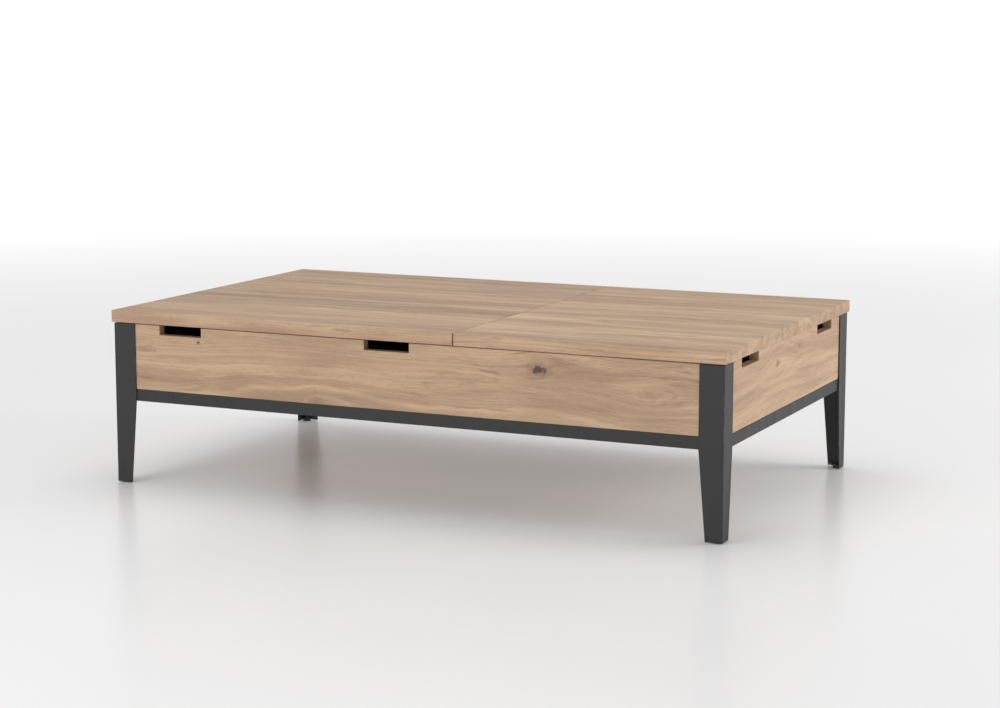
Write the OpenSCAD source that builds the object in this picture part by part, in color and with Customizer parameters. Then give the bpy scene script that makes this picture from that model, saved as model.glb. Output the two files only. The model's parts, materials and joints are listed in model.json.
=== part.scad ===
/* [Overall] */
// Length over both lids
table_l = 1350; // [1280:10:1700]
// Width over the lids
table_w = 800; // [640:10:1000]
// Height from the floor to the top face of the lids
table_h = 365; // [300:5:460]

/* [Lids] */
// Thickness of the lids
lid_t = 25; // [20:1:30]
// Length of the left lid, which lifts to the front
left_lid_l = 789; // [600:1:860]
// Gap between the two lids
lid_seam = 2; // [1:0.5:4]
// Gap between the lids and the box, filled by the bumpers
lid_gap = 2; // [1.5:0.5:4]
// How far the lids stand out past the legs
overhang = 4; // [2:1:20]

/* [Box] */
// Height of the box walls
box_h = 137; // [125:1:180]
// Thickness of the walls and the partition
wall_t = 20; // [18:1:25]
// Thickness of the bottom panels
bottom_t = 12; // [8:1:15]
// Side of the glued corner blocks
block_w = 28; // [20:1:32]
// Height of the glued corner blocks
block_h = 70; // [40:1:90]
// Diameter of the rubber bumpers on the wall edges
bumper_d = 12; // [8:1:14]

/* [Finger notches] */
// Width of a notch
notch_w = 100; // [80:5:130]
// Depth of a notch below the top edge of the wall
notch_h = 20; // [14:1:30]
// Outer end of the left lid to the middle of the first front notch
front_notch_in = 163; // [130:1:220]
// Distance between the middles of the two front notches, for the usual left lid
front_notch_pitch = 478; // [380:1:520]
// Long edge of the table to the middle of each notch in the right end
end_notch_in = 160; // [130:1:220]

/* [Steel frame] */
// Width of each face of a leg above the rails
leg_w = 50; // [40:1:70]
// Width of each face of a leg at the foot
foot_w = 35; // [30:1:50]
// Thickness of the leg and rail steel
steel_t = 3; // [2.5:0.5:5]
// Height of the outer rails
rail_h = 25; // [20:1:35]
// Width of the rail flange that carries the box
rail_flange = 40; // [35:1:60]
// Width of the flange of the centre cross rail
cross_flange = 60; // [50:1:80]
// Thickness of the foot plates
foot_plate_t = 4; // [3:1:6]
// Height of the foot plates above the floor
foot_plate_z = 4; // [4:1:15]
// Diameter of the floor glides
glide_d = 17; // [12:1:18]
// Diameter of the glide stud
glide_stud_d = 6; // [4:1:10]
// How far the glides stand below the legs
glide_proud = 1.5; // [1:0.5:5]

/* [Lift mechanism] */
// Distance between the two pivots of an arm
arm_l = 280; // [230:5:340]
// Width of an arm between its eyes
arm_w = 22; // [18:1:24]
// Diameter of the eyes of an arm
eye_d = 26; // [25:1:28]
// Thickness of an arm
arm_t = 5; // [4:0.5:6]
// Angle of the closed arms above level
arm_rest = 15; // [14:1:17]
// Swing from closed to open
arm_swing = 90; // [80:1:95]
// Distance between the drive pivot and the follower pivot
pivot_gap = 110; // [105:1:130]
// Depth of the upper pivots below the lid
pivot_drop = 18; // [16:1:22]
// Gap from the rear wall to the lid brackets
rear_clear = 27; // [15:1:40]
// Thickness of the base plates and lid brackets
plate_t = 2.5; // [2:0.5:3]
// Width of the flange of a base plate
base_flange = 30; // [26:1:40]
// Height of a base plate above its pivots
base_rise = 18; // [14:1:22]
// Width of both flanges of a lid bracket
bracket_w = 30; // [28:1:40]
// Length of a lid bracket past its pivots
bracket_end = 16; // [14:1:20]
// Diameter of the pivot pins
pin_d = 8; // [6:1:10]
// Diameter of the pin heads
pin_head_d = 14; // [12:1:16]
// Thickness of the pin heads
pin_head_t = 1.5; // [1:0.25:2]
// Diameter of the open stop studs
stud_d = 10; // [8:1:12]
// Distance along the arm from the follower pivot to the stop stud
stud_reach = 55; // [45:1:60]
// Outer diameter of the cross tubes
tube_d = 16; // [14:1:18]
// Bore of the cross tubes
tube_bore = 10.5; // [10.5:0.5:12]
// Wire of the lift springs
wire_d = 4; // [3:0.5:5]
// Turns of each lift spring
spring_turns = 9; // [6:1:12]
// Diameter of the spring cups
cup_d = 32; // [30:1:36]
// Width of the spring cups
cup_w = 10; // [8:1:14]

/* [Screws] */
// Diameter of the box screws
box_screw_d = 5; // [4:0.5:6]
// Length of the box screws
box_screw_l = 22; // [15:1:45]
// Greatest spacing of the box screws
box_screw_pitch = 290; // [200:10:350]
// Diameter of the mechanism screws
lift_screw_d = 4; // [3.5:0.5:5]
// Length of the mechanism screws in the walls
wall_screw_l = 16; // [12:1:17]
// Length of the mechanism screws in the bottom panels
floor_screw_l = 10; // [8:1:11]
// Length of the bracket screws in the lids
lid_screw_l = 18; // [14:1:20]
// Head height of every screw
screw_head_t = 2.5; // [2:0.25:3]

/* [Fits] */
// Radial clearance of an arm on its pin
run_clear = 0.05; // [0.02:0.01:0.1]
// Radial clearance of a fixed pin, screw or collar in its hole
seat_clear = 0.02; // [0.01:0.01:0.05]
// Gap at the side of an arm
side_gap = 0.5; // [0.3:0.1:1]
// Radial gap between a spring and its tube
spring_clear = 1; // [0.5:0.25:2]

/* [Hidden] */
$fn = 48;
eps = 0.01;

// heights
lid_z = table_h - lid_t;
box_top = lid_z - lid_gap;
box_z = box_top - box_h;
floor_z = box_z + bottom_t;
rail_z = box_z - rail_h;

// half sizes in plan, from the legs inwards
leg_x = table_l / 2 - overhang;
leg_y = table_w / 2 - overhang;
box_x = leg_x - steel_t;
box_y = leg_y - steel_t;
inner_x = box_x - wall_t;
inner_y = box_y - wall_t;

// the seam between the lids, with the partition and cross rail under it
seam_x = -table_l / 2 + left_lid_l + lid_seam / 2;
part_left = seam_x - wall_t / 2;
part_right = seam_x + wall_t / 2;

// middles of the finger notches
// the notches draw together or apart with the left lid, so the second stays inside its compartment
usual_left_lid = 789;
notch_spread = front_notch_pitch * left_lid_l / usual_left_lid;
front_notch_x = [for (i = [0, 1]) -table_l / 2 + front_notch_in + i * notch_spread];
end_notch_y = [for (s = [-1, 1]) s * (table_w / 2 - end_notch_in)];

// lift mechanism, in its own frame: x to the user, y inwards from the wall, z up from the pivots
reach = arm_l * cos(arm_rest);
rise = arm_l * sin(arm_rest);
pivot_z = lid_z - pivot_drop - rise;
base_foot = pivot_z - floor_z;
arm_y = plate_t + side_gap;
tube_y = arm_y + arm_t;
bracket_y = tube_y + side_gap;
bracket_top = rise + pivot_drop;
arm_open = 180 - arm_rest - arm_swing;
stud_off = (arm_w + stud_d) / 2;
stud_x = pivot_gap + stud_reach * cos(arm_open) + stud_off * sin(arm_open);
stud_z = stud_reach * sin(arm_open) - stud_off * cos(arm_open);
base_back = -pin_head_d / 2 - 18;
base_front = stud_x + stud_d / 2 + 9;
spring_y = tube_y + 4;
spring_l = spring_turns * wire_d;
coil_r = tube_d / 2 + spring_clear + wire_d / 2;
cup_y = spring_y + spring_l + side_gap;
flange_screw_y = plate_t + base_flange * 0.62;
lid_screw_y = bracket_y + bracket_w * 0.6;
wall_screw_z = -base_foot + plate_t + 9;
wall_screw_x = [base_back + 12, pivot_gap / 2, base_front - 14];
flange_screw_x = [wall_screw_x[0] + 32, wall_screw_x[2] - 10];
bracket_screw_x = [for (t = [0.12, 0.5, 0.88])
    -reach - bracket_end + t * (pivot_gap + 2 * bracket_end)];

// pivots of the two lifts in plan
front_drive_y = inner_y - rear_clear - bracket_end - reach;
end_drive_x = part_right + rear_clear + bracket_end + reach;

// evenly spaced places between two ends
function spaced(a, b, pitch) =
    let (n = ceil((b - a) / pitch)) [for (i = [0 : n]) a + (b - a) * i / n];

screw_end_in = 60;
long_screw_x = spaced(-box_x + screw_end_in, box_x - screw_end_in, box_screw_pitch);
short_screw_y = spaced(-box_y + screw_end_in, box_y - screw_end_in, box_screw_pitch);
part_screw_y = [-inner_y / 2, inner_y / 2];
part_screw_x = seam_x + steel_t / 2 + box_screw_d;

// ---- shared shapes ----

// a flat shape drawn in the x-z plane, from y to y + t
module upright(y, t) {
    translate([0, y + t, 0]) rotate([90, 0, 0]) linear_extrude(t) children();
}

// a round bar along y
module rod_y(y0, y1, d) {
    translate([0, y0, 0]) rotate([-90, 0, 0]) cylinder(h = y1 - y0, d = d);
}

// a screw with its head seat at z = 0, its thread upwards and its head below
module screw(d, l) {
    cylinder(h = l, d = d);
    difference() {
        translate([0, 0, -screw_head_t]) cylinder(h = screw_head_t, d = 2 * d);
        translate([0, 0, -screw_head_t - eps])
            cylinder(h = screw_head_t * 0.6, d = 0.9 * d, $fn = 6);
    }
}

// the hole that a screw fills
module screw_hole(d, l) {
    translate([0, 0, -eps]) cylinder(h = l + 0.5 + eps, d = d + 2 * seat_clear);
}

// places every box screw that goes up into the walls and the partition
module at_box_screws(long = true, short = true, part = true) {
    if (long) for (x = long_screw_x, s = [-1, 1])
        translate([x, s * (box_y - wall_t / 2), box_z - steel_t]) children();
    if (short) for (y = short_screw_y, s = [-1, 1])
        translate([s * (box_x - wall_t / 2), y, box_z - steel_t]) children();
    if (part) for (y = part_screw_y)
        translate([part_screw_x, y, box_z - steel_t]) children();
}

// ---- places of the lifts ----

// side 0 is the left wall, side 1 the partition
module front_lift(side) {
    translate([side == 0 ? -inner_x : part_left, front_drive_y, pivot_z])
        rotate([0, 0, -90]) mirror([0, side, 0]) children();
}

// side 0 is the front wall, side 1 the rear wall
module end_lift(side) {
    translate([end_drive_x, side == 0 ? -inner_y : inner_y, pivot_z])
        mirror([0, side, 0]) children();
}

module wall_screw_places() {
    for (x = wall_screw_x)
        translate([x, plate_t, wall_screw_z]) rotate([90, 0, 0]) children();
    translate([base_front - 6, plate_t, stud_z - 20]) rotate([90, 0, 0]) children();
}

module flange_screw_places() {
    for (x = flange_screw_x)
        translate([x, flange_screw_y, -base_foot + plate_t]) rotate([180, 0, 0]) children();
}

module bracket_screw_places() {
    for (x = bracket_screw_x)
        translate([x, lid_screw_y, bracket_top - plate_t]) children();
}

module wall_screw_holes() { wall_screw_places() screw_hole(lift_screw_d, plate_t + wall_screw_l); }
module flange_screw_holes() { flange_screw_places() screw_hole(lift_screw_d, plate_t + floor_screw_l); }
module bracket_screw_holes() { bracket_screw_places() screw_hole(lift_screw_d, plate_t + lid_screw_l); }

// ---- steel frame ----

// one face of a leg, from the corner outwards, less the thickness of the other face
module leg_face(start) {
    polygon([[start, glide_proud], [foot_w, glide_proud], [leg_w, rail_z],
             [leg_w, box_top], [start, box_top]]);
}

// an angle leg round the front left corner of the box
module leg() {
    color("#34343a") translate([-leg_x, -leg_y, 0]) {
        upright(0, steel_t) leg_face(0);
        mirror([1, -1, 0]) upright(0, steel_t) leg_face(steel_t);
    }
}

module leg_front_left() { leg(); }
module leg_front_right() { mirror([1, 0, 0]) leg(); }
module leg_rear_left() { mirror([0, 1, 0]) leg(); }
module leg_rear_right() { rotate([0, 0, 180]) leg(); }

// an angle rail along the front, its flange at the top and inwards
module long_rail() {
    color("#34343a") difference() {
        union() {
            translate([-box_x, -box_y, rail_z]) cube([2 * box_x, steel_t, rail_h]);
            translate([-box_x, -box_y, box_z - steel_t])
                cube([2 * box_x, rail_flange, steel_t]);
        }
        at_box_screws() screw_hole(box_screw_d, box_screw_l);
    }
}

// an angle rail along the left end, coped to pass under the long rails' flanges
module short_rail() {
    web_y = box_y - steel_t;
    top_y = box_y - rail_flange;
    color("#34343a") difference() {
        union() {
            translate([-box_x, -web_y, rail_z])
                cube([steel_t, 2 * web_y, rail_h - steel_t]);
            translate([-box_x, -top_y, box_z - steel_t])
                cube([rail_flange, 2 * top_y, steel_t]);
        }
        at_box_screws() screw_hole(box_screw_d, box_screw_l);
    }
}

module front_rail() { long_rail(); }
module rear_rail() { mirror([0, 1, 0]) long_rail(); }
module left_rail() { short_rail(); }
module right_rail() { mirror([1, 0, 0]) short_rail(); }

// a tee rail under the partition, its flange level with the other flanges
module centre_cross_rail() {
    web_y = box_y - steel_t;
    top_y = box_y - rail_flange;
    color("#34343a") difference() {
        union() {
            translate([seam_x - steel_t / 2, -web_y, rail_z])
                cube([steel_t, 2 * web_y, rail_h - steel_t]);
            translate([seam_x - cross_flange / 2, -top_y, box_z - steel_t])
                cube([cross_flange, 2 * top_y, steel_t]);
        }
        at_box_screws(false, false) screw_hole(box_screw_d, box_screw_l);
    }
}

foot_plate_w = foot_w - steel_t;
// the middle of the largest circle in a three-cornered foot plate
foot_middle = foot_plate_w * (1 - sqrt(0.5));

// the inner corner of each foot, with x and y pointing into the foot
module at_feet() {
    for (sx = [0, 1], sy = [0, 1])
        mirror([sx, 0, 0]) mirror([0, sy, 0]) translate([-box_x, -box_y, 0]) children();
}

module foot_plates() {
    color("#34343a") at_feet() translate([0, 0, foot_plate_z])
        linear_extrude(foot_plate_t) difference() {
            polygon([[0, 0], [foot_plate_w, 0], [0, foot_plate_w]]);
            translate([foot_middle, foot_middle]) circle(d = glide_stud_d + 2 * seat_clear);
        }
}

module floor_glides() {
    color("#1c1c1c") at_feet() translate([foot_middle, foot_middle, 0]) {
        cylinder(h = foot_plate_z, d = glide_d);
        translate([0, 0, foot_plate_z]) cylinder(h = foot_plate_t + 6, d = glide_stud_d);
    }
}

module box_screws() {
    color("#9a9a9a") at_box_screws() screw(box_screw_d, box_screw_l);
}

// ---- box ----

// a wall with its long side on x and its outer face at y = 0
module wall(l, notches = []) {
    difference() {
        translate([-l / 2, 0, box_z]) cube([l, wall_t, box_h]);
        for (x = notches) translate([x - notch_w / 2, -1, box_top - notch_h])
            cube([notch_w, wall_t + 2, notch_h + 1]);
    }
}

module front_apron() {
    color("#b98f66") difference() {
        translate([0, -box_y, 0]) wall(2 * box_x, front_notch_x);
        at_box_screws(short = false, part = false) screw_hole(box_screw_d, box_screw_l);
        end_lift(0) wall_screw_holes();
    }
}

module rear_apron() {
    color("#b98f66") difference() {
        translate([0, box_y - wall_t, 0]) wall(2 * box_x);
        at_box_screws(short = false, part = false) screw_hole(box_screw_d, box_screw_l);
        end_lift(1) wall_screw_holes();
    }
}

module left_apron() {
    color("#b98f66") difference() {
        translate([-inner_x, 0, 0]) rotate([0, 0, 90]) wall(2 * inner_y);
        at_box_screws(long = false, part = false) screw_hole(box_screw_d, box_screw_l);
        front_lift(0) wall_screw_holes();
    }
}

module right_apron() {
    color("#b98f66") difference() {
        translate([box_x, 0, 0]) rotate([0, 0, 90]) wall(2 * inner_y, end_notch_y);
        at_box_screws(long = false, part = false) screw_hole(box_screw_d, box_screw_l);
    }
}

module partition() {
    color("#a98258") difference() {
        translate([part_right, 0, 0]) rotate([0, 0, 90]) wall(2 * inner_y);
        at_box_screws(long = false, short = false) screw_hole(box_screw_d, box_screw_l);
        front_lift(1) wall_screw_holes();
    }
}

module left_bottom_panel() {
    color("#a98258") difference() {
        translate([-inner_x, -inner_y, box_z])
            cube([part_left + inner_x, 2 * inner_y, bottom_t]);
        for (side = [0, 1]) front_lift(side) flange_screw_holes();
    }
}

module right_bottom_panel() {
    color("#a98258") difference() {
        translate([part_right, -inner_y, box_z])
            cube([inner_x - part_right, 2 * inner_y, bottom_t]);
        for (side = [0, 1]) end_lift(side) flange_screw_holes();
    }
}

module corner_blocks() {
    color("#a98258") for (x = [[-inner_x, 1], [part_left, -1], [part_right, 1], [inner_x, -1]],
                          s = [-1, 1])
        translate([x[0], s * inner_y, floor_z]) mirror([x[1] > 0 ? 0 : 1, 0, 0])
            mirror([0, s > 0 ? 1 : 0, 0])
                linear_extrude(block_h) polygon([[0, 0], [block_w, 0], [0, block_w]]);
}

// bumpers on the long walls, beside the ends and the seam
bumper_x = [-inner_x + 2 * bumper_d, seam_x - 2 * bumper_d, seam_x + 2 * bumper_d,
            inner_x - 2 * bumper_d];

module lid_bumpers() {
    color("#202020") for (x = bumper_x, s = [-1, 1])
        translate([x, s * (box_y - wall_t / 2), box_top]) cylinder(h = lid_gap, d = bumper_d);
}

// ---- lids ----

module left_lid() {
    color("#b48a60") difference() {
        translate([-table_l / 2, -table_w / 2, lid_z]) cube([left_lid_l, table_w, lid_t]);
        for (side = [0, 1]) front_lift(side) bracket_screw_holes();
    }
}

module right_lid() {
    right_lid_l = table_l - left_lid_l - lid_seam;
    color("#c39a6f") difference() {
        translate([table_l / 2 - right_lid_l, -table_w / 2, lid_z])
            cube([right_lid_l, table_w, lid_t]);
        for (side = [0, 1]) end_lift(side) bracket_screw_holes();
    }
}

// ---- pieces of one side of a lift ----

module base_plate() {
    tab_back = stud_x - stud_d / 2 - 7;
    color("#2b2b2e") difference() {
        union() {
            upright(0, plate_t) polygon([
                [base_back, -base_foot], [base_front, -base_foot],
                [base_front, stud_z + stud_d / 2 + 5], [tab_back, stud_z + stud_d / 2 + 5],
                [tab_back - 20, base_rise], [base_back, base_rise]]);
            translate([base_back, 0, -base_foot])
                cube([base_front - base_back, plate_t + base_flange, plate_t]);
        }
        for (x = [0, pivot_gap]) translate([x, 0, 0])
            rod_y(-1, plate_t + 1, pin_d + 2 * seat_clear);
        translate([stud_x, 0, stud_z]) rod_y(-1, plate_t + 1, stud_d + 2 * seat_clear);
        wall_screw_holes();
        flange_screw_holes();
    }
}

module base_screws() {
    color("#9a9a9a") {
        wall_screw_places() screw(lift_screw_d, plate_t + wall_screw_l);
        flange_screw_places() screw(lift_screw_d, plate_t + floor_screw_l);
    }
}

// the drive pin ends inside the cross tube, the follower pin has a head
module base_pins() {
    color("#b4b4b4") {
        rod_y(0, tube_y + 6, pin_d);
        translate([pivot_gap, 0, 0]) {
            rod_y(0, tube_y + side_gap, pin_d);
            rod_y(tube_y + side_gap, tube_y + side_gap + pin_head_t, pin_head_d);
        }
    }
}

// a torsion spring round the cross tube, its lower leg on the base plate's flange
module lift_spring() {
    color("#b4b4b4") {
        translate([0, spring_y, 0]) rotate([-90, 0, 0]) rotate_extrude()
            polygon(concat(
                [[coil_r - wire_d / 2, spring_l], [coil_r - wire_d / 2, 0]],
                [for (i = [0 : 2 * spring_turns])
                    [coil_r + (i % 2 == 0 ? wire_d / 4 : wire_d / 2), i * wire_d / 2]]));
        translate([-coil_r, spring_y + wire_d / 2, -base_foot + plate_t])
            cylinder(h = base_foot - plate_t, d = wire_d);
    }
}

module stop_stud() {
    color("#b4b4b4") translate([stud_x, 0, stud_z]) rod_y(0, tube_y, stud_d);
}

// a flat bar from the pivot at x = 0 to the upper pivot
module arm() {
    color("#2b2b2e") upright(arm_y, arm_t) difference() {
        union() {
            circle(d = eye_d);
            translate([-reach, rise]) circle(d = eye_d);
            rotate(180 - arm_rest) translate([0, -arm_w / 2]) square([arm_l, arm_w]);
        }
        circle(d = pin_d + 2 * run_clear);
        translate([-reach, rise]) circle(d = pin_d + 2 * run_clear);
    }
}

module follower() { translate([pivot_gap, 0, 0]) arm(); }

module spring_cup() {
    color("#2b2b2e") difference() {
        rod_y(cup_y, cup_y + cup_w, cup_d);
        rod_y(cup_y - 1, cup_y + cup_w + 1, tube_d + 2 * seat_clear);
    }
}

module cross_tube(span) {
    color("#2b2b2e") difference() {
        rod_y(tube_y, span - tube_y, tube_d);
        rod_y(tube_y - 1, span - tube_y + 1, tube_bore);
    }
}

module lid_bracket() {
    color("#2b2b2e") difference() {
        translate([-reach - bracket_end, bracket_y, bracket_top - bracket_w])
            union() {
                cube([pivot_gap + 2 * bracket_end, plate_t, bracket_w]);
                translate([0, 0, bracket_w - plate_t])
                    cube([pivot_gap + 2 * bracket_end, bracket_w, plate_t]);
            }
        for (x = [0, pivot_gap]) translate([x - reach, 0, rise])
            rod_y(bracket_y - 1, bracket_y + plate_t + 1, pin_d + 2 * seat_clear);
        bracket_screw_holes();
    }
}

module bracket_screws() {
    color("#9a9a9a") bracket_screw_places() screw(lift_screw_d, plate_t + lid_screw_l);
}

module top_pins() {
    inner = bracket_y + plate_t;
    outer = plate_t;
    color("#b4b4b4") for (x = [0, pivot_gap]) translate([x - reach, 0, rise]) {
        rod_y(outer, inner, pin_d);
        rod_y(outer - pin_head_t, outer, pin_head_d);
        rod_y(inner, inner + pin_head_t, pin_head_d);
    }
}

module front_lift_base_plate_left() { front_lift(0) base_plate(); }
module front_lift_base_plate_right() { front_lift(1) base_plate(); }
module front_lift_base_screws() { for (side = [0, 1]) front_lift(side) base_screws(); }
module front_lift_base_pins() { for (side = [0, 1]) front_lift(side) base_pins(); }
module front_lift_springs() { for (side = [0, 1]) front_lift(side) lift_spring(); }
module front_lift_stop_studs() { for (side = [0, 1]) front_lift(side) stop_stud(); }
module front_lift_drive_arm_left() { front_lift(0) arm(); }
module front_lift_drive_arm_right() { front_lift(1) arm(); }
module front_lift_cross_tube() { front_lift(0) cross_tube(part_left + inner_x); }
module front_lift_spring_cups() { for (side = [0, 1]) front_lift(side) spring_cup(); }
module front_lift_follower_arm_left() { front_lift(0) follower(); }
module front_lift_follower_arm_right() { front_lift(1) follower(); }
module front_lift_bracket_left() { front_lift(0) lid_bracket(); }
module front_lift_bracket_right() { front_lift(1) lid_bracket(); }
module front_lift_bracket_screws() { for (side = [0, 1]) front_lift(side) bracket_screws(); }
module front_lift_top_pins() { for (side = [0, 1]) front_lift(side) top_pins(); }

module end_lift_base_plate_front() { end_lift(0) base_plate(); }
module end_lift_base_plate_rear() { end_lift(1) base_plate(); }
module end_lift_base_screws() { for (side = [0, 1]) end_lift(side) base_screws(); }
module end_lift_base_pins() { for (side = [0, 1]) end_lift(side) base_pins(); }
module end_lift_springs() { for (side = [0, 1]) end_lift(side) lift_spring(); }
module end_lift_stop_studs() { for (side = [0, 1]) end_lift(side) stop_stud(); }
module end_lift_drive_arm_front() { end_lift(0) arm(); }
module end_lift_drive_arm_rear() { end_lift(1) arm(); }
module end_lift_cross_tube() { end_lift(0) cross_tube(2 * inner_y); }
module end_lift_spring_cups() { for (side = [0, 1]) end_lift(side) spring_cup(); }
module end_lift_follower_arm_front() { end_lift(0) follower(); }
module end_lift_follower_arm_rear() { end_lift(1) follower(); }
module end_lift_bracket_front() { end_lift(0) lid_bracket(); }
module end_lift_bracket_rear() { end_lift(1) lid_bracket(); }
module end_lift_bracket_screws() { for (side = [0, 1]) end_lift(side) bracket_screws(); }
module end_lift_top_pins() { for (side = [0, 1]) end_lift(side) top_pins(); }

leg_front_left();
leg_front_right();
leg_rear_left();
leg_rear_right();
front_rail();
rear_rail();
left_rail();
right_rail();
centre_cross_rail();
foot_plates();
floor_glides();
box_screws();
front_apron();
rear_apron();
left_apron();
right_apron();
partition();
left_bottom_panel();
right_bottom_panel();
corner_blocks();
lid_bumpers();
left_lid();
right_lid();
front_lift_base_plate_left();
front_lift_base_plate_right();
front_lift_base_screws();
front_lift_base_pins();
front_lift_springs();
front_lift_stop_studs();
front_lift_drive_arm_left();
front_lift_drive_arm_right();
front_lift_cross_tube();
front_lift_spring_cups();
front_lift_follower_arm_left();
front_lift_follower_arm_right();
front_lift_bracket_left();
front_lift_bracket_right();
front_lift_bracket_screws();
front_lift_top_pins();
end_lift_base_plate_front();
end_lift_base_plate_rear();
end_lift_base_screws();
end_lift_base_pins();
end_lift_springs();
end_lift_stop_studs();
end_lift_drive_arm_front();
end_lift_drive_arm_rear();
end_lift_cross_tube();
end_lift_spring_cups();
end_lift_follower_arm_front();
end_lift_follower_arm_rear();
end_lift_bracket_front();
end_lift_bracket_rear();
end_lift_bracket_screws();
end_lift_top_pins();
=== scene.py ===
import json
import math
import random

import bmesh
import bpy
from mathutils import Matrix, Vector


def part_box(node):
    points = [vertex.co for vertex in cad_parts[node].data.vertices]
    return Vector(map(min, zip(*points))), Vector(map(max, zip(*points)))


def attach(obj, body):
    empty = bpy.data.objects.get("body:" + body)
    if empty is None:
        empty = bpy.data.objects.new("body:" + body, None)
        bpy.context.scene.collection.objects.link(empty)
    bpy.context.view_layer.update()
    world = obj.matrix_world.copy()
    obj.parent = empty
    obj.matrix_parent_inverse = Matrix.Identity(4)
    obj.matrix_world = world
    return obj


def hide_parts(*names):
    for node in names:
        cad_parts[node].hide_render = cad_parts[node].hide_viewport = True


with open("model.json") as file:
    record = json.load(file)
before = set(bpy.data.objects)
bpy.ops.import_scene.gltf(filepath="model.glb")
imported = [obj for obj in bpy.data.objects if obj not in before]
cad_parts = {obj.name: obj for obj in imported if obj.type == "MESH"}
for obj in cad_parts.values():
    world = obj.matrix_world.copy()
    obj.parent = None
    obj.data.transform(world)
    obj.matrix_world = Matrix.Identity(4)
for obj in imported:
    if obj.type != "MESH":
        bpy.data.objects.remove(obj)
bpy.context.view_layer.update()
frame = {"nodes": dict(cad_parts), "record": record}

record = frame["record"]
bodyOf = {node: body for body, nodes in record["behaviour"]["bodies"].items() for node in nodes}
slotOf = {part["node"]: part["material_slot"] for part in record["subparts"]}
print("frame loaded:", len(frame["nodes"]), "nodes")

# where the main pieces lie, in metres
topLow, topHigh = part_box("left_lid")
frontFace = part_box("front_apron")[0].y
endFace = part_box("right_apron")[1].x


# small helpers for shader trees

def addNode(tree, kind, values=None, **settings):
    # values are linked if they are sockets, and set if they are plain
    node = tree.nodes.new(kind)
    for name, value in settings.items():
        setattr(node, name, value)
    for key, value in (values or {}).items():
        if isinstance(value, bpy.types.NodeSocket):
            tree.links.new(value, node.inputs[key])
        else:
            node.inputs[key].default_value = value
    return node


def calc(tree, operation, first, second=0.0, third=0.0, clamp=False):
    node = addNode(tree, "ShaderNodeMath", {0: first, 1: second, 2: third},
                   operation=operation, use_clamp=clamp)
    return node.outputs[0]


def vectorCalc(tree, operation, first, second=(0, 0, 0), scale=None):
    values = {0: first, 1: second}
    if scale is not None:
        values["Scale"] = scale
    node = addNode(tree, "ShaderNodeVectorMath", values, operation=operation)
    return node.outputs["Value" if operation in ("LENGTH", "DOT_PRODUCT") else 0]


def fade(tree, value, low, high, outLow=0.0, outHigh=1.0, smooth=True):
    node = addNode(tree, "ShaderNodeMapRange",
                   {"Value": value, "From Min": low, "From Max": high,
                    "To Min": outLow, "To Max": outHigh},
                   interpolation_type="SMOOTHSTEP" if smooth else "LINEAR")
    return node.outputs["Result"]


def noise(tree, vector, scale, detail=2.0, roughness=0.5, dimensions="3D", w=None):
    values = {"Scale": scale, "Detail": detail, "Roughness": roughness}
    if dimensions != "1D":
        values["Vector"] = vector
    if w is not None:
        values["W"] = w
    return addNode(tree, "ShaderNodeTexNoise", values, noise_dimensions=dimensions).outputs[0]


def mixColour(tree, amount, first, second, blend="MIX"):
    node = addNode(tree, "ShaderNodeMix", {0: amount, 6: first, 7: second},
                   data_type="RGBA", blend_type=blend)
    return node.outputs[2]


def combine(tree, x, y, z):
    return addNode(tree, "ShaderNodeCombineXYZ", {0: x, 1: y, 2: z}).outputs[0]


def newGroup(name, inputs, outputs):
    # inputs and outputs are (name, type) or (name, type, default)
    tree = bpy.data.node_groups.new(name, "ShaderNodeTree")
    for entry in inputs:
        socket = tree.interface.new_socket(entry[0], in_out="INPUT",
                                           socket_type="NodeSocket" + entry[1])
        if len(entry) > 2:
            socket.default_value = entry[2]
    for entry in outputs:
        tree.interface.new_socket(entry[0], in_out="OUTPUT", socket_type="NodeSocket" + entry[1])
    given = tree.nodes.new("NodeGroupInput").outputs
    result = tree.nodes.new("NodeGroupOutput").inputs
    return tree, given, result


def useGroup(tree, group, values):
    node = tree.nodes.new("ShaderNodeGroup")
    node.node_tree = group
    for key, value in values.items():
        if isinstance(value, bpy.types.NodeSocket):
            tree.links.new(value, node.inputs[key])
        else:
            node.inputs[key].default_value = value
    return node.outputs


def startMaterial(name, **fixed):
    # a Principled material, its constants straight on the shader's sockets
    material = bpy.data.materials.new(name)
    material.use_nodes = True
    tree = material.node_tree
    shader = tree.nodes["Principled BSDF"]
    for key, value in fixed.items():
        shader.inputs[key.replace("_", " ")].default_value = value
    return material, tree, shader


def objectPlace(tree):
    return tree.nodes.new("ShaderNodeTexCoord").outputs["Object"]


def bumpFrom(tree, shader, height, strength, distance):
    node = addNode(tree, "ShaderNodeBump",
                   {"Height": height, "Strength": strength, "Distance": distance})
    tree.links.new(node.outputs["Normal"], shader.inputs["Normal"])


# oak

knotLook = {"reach": 3.4, "reachAlong": 2.1, "pull": 0.72, "roughScale": 110.0, "ragged": 2.2,
            "eyeRim": 1.70, "eyeCore": 0.10}


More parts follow.
